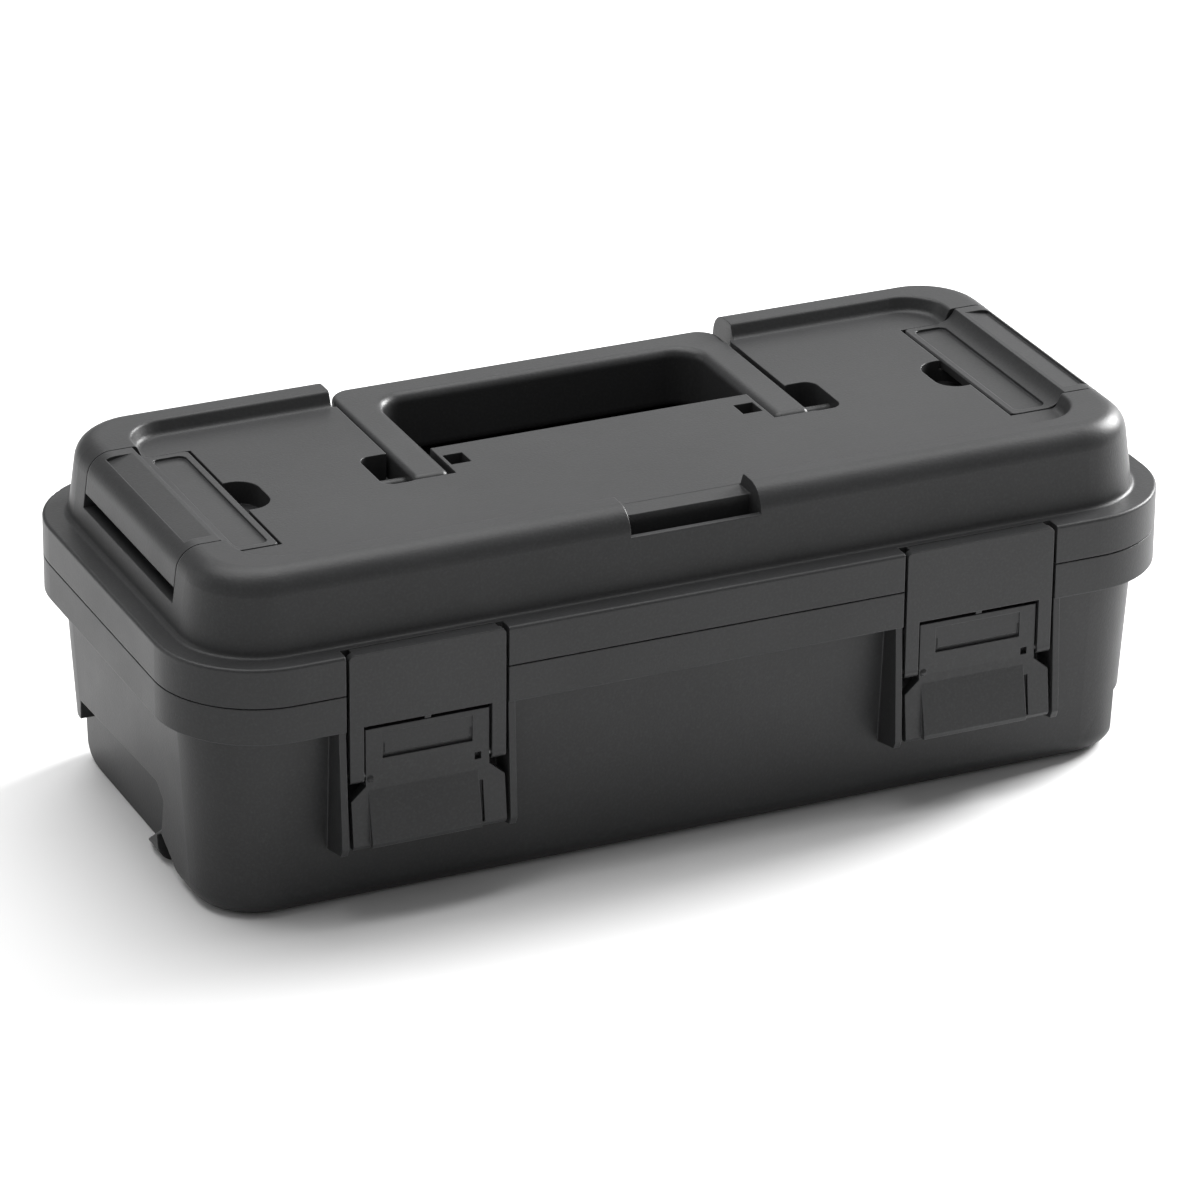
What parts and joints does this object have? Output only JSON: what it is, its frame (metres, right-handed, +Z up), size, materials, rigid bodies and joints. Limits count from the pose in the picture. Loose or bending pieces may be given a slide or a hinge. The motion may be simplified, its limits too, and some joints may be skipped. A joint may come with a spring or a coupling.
{
  "type": "toolbox",
  "caption": "Stackable plastic toolbox with a hinged lid, folding carry handle, two draw latches, hinged stacking clips and a lift-out tray",
  "frame": {"origin": "On the ground, under the middle of the box's outline", "axes": "+X is the right end, -Y the front with the two latches, +Z up"},
  "size_m": [0.4, 0.1944, 0.1365],
  "materials": {
    "body": "matte moulded",
    "handle": "matte moulded",
    "clips": "matte moulded",
    "latches": "matte moulded",
    "tray": "matte moulded",
    "pins": "drawn wire"
  },
  "bodies": {
    "tub": {"tub_shell": "body", "hinge_pin_left": "pins", "hinge_pin_right": "pins", "lever_pin_left": "pins", "lever_pin_right": "pins"},
    "lid": {"lid_shell": "body", "handle_pin_left": "handle", "handle_pin_right": "handle", "clip_pin_left": "pins", "clip_pin_right": "pins"},
    "handle": {"handle_bail": "handle"},
    "clip_left": {"clip_left": "clips"},
    "clip_right": {"clip_right": "clips"},
    "lever_left": {"latch_lever_left": "latches", "plate_pins_left": "pins"},
    "lever_right": {"latch_lever_right": "latches", "plate_pins_right": "pins"},
    "plate_left": {"draw_plate_left": "latches"},
    "plate_right": {"draw_plate_right": "latches"},
    "tray": {"tray_shell": "tray", "tray_grip": "tray", "tray_divider_left_front": "tray", "tray_divider_left_back": "tray", "tray_divider_right_front": "tray", "tray_divider_right_back": "tray"}
  },
  "joints": [
    {"name": "lid_hinge", "type": "hinge", "parent": "tub", "child": "lid", "pos_m": [0, 0.093, 0.0905], "axis": [-1, 0, 0], "range_deg": [0, 100]},
    {"name": "handle_hinge", "type": "hinge", "parent": "lid", "child": "handle", "pos_m": [0, 0, 0.1245], "axis": [1, 0, 0], "range_deg": [0, 95]},
    {"name": "clip_hinge_left", "type": "hinge", "parent": "lid", "child": "clip_left", "pos_m": [-0.1844, 0, 0.1246], "axis": [0, -1, 0], "range_deg": [0, 100]},
    {"name": "clip_hinge_right", "type": "hinge", "parent": "lid", "child": "clip_right", "pos_m": [0.1844, 0, 0.1246], "axis": [0, 1, 0], "range_deg": [0, 100]},
    {"name": "lever_hinge_left", "type": "hinge", "parent": "tub", "child": "lever_left", "pos_m": [-0.11075, -0.0874, 0.0732], "axis": [-1, 0, 0], "range_deg": [0, 90]},
    {"name": "plate_hinge_left", "type": "hinge", "parent": "lever_left", "child": "plate_left", "pos_m": [-0.11075, -0.091, 0.0573], "axis": [-1, 0, 0], "range_deg": [-100, 0]},
    {"name": "lever_hinge_right", "type": "hinge", "parent": "tub", "child": "lever_right", "pos_m": [0.11075, -0.0874, 0.0732], "axis": [-1, 0, 0], "range_deg": [0, 90]},
    {"name": "plate_hinge_right", "type": "hinge", "parent": "lever_right", "child": "plate_right", "pos_m": [0.11075, -0.091, 0.0573], "axis": [-1, 0, 0], "range_deg": [-100, 0]},
    {"name": "tray_lift", "type": "slide", "parent": "tub", "child": "tray", "axis": [0, 0, 1], "range_m": [0, 0.08]}
  ],
  "couplings": [
    {"joint": "plate_hinge_left", "follows": "lever_hinge_left", "ratio": -1.1},
    {"joint": "plate_hinge_right", "follows": "lever_hinge_right", "ratio": -1.1},
    {"joint": "tray_lift", "follows": "lid_hinge", "m_per_rad": 0.045}
  ]
}
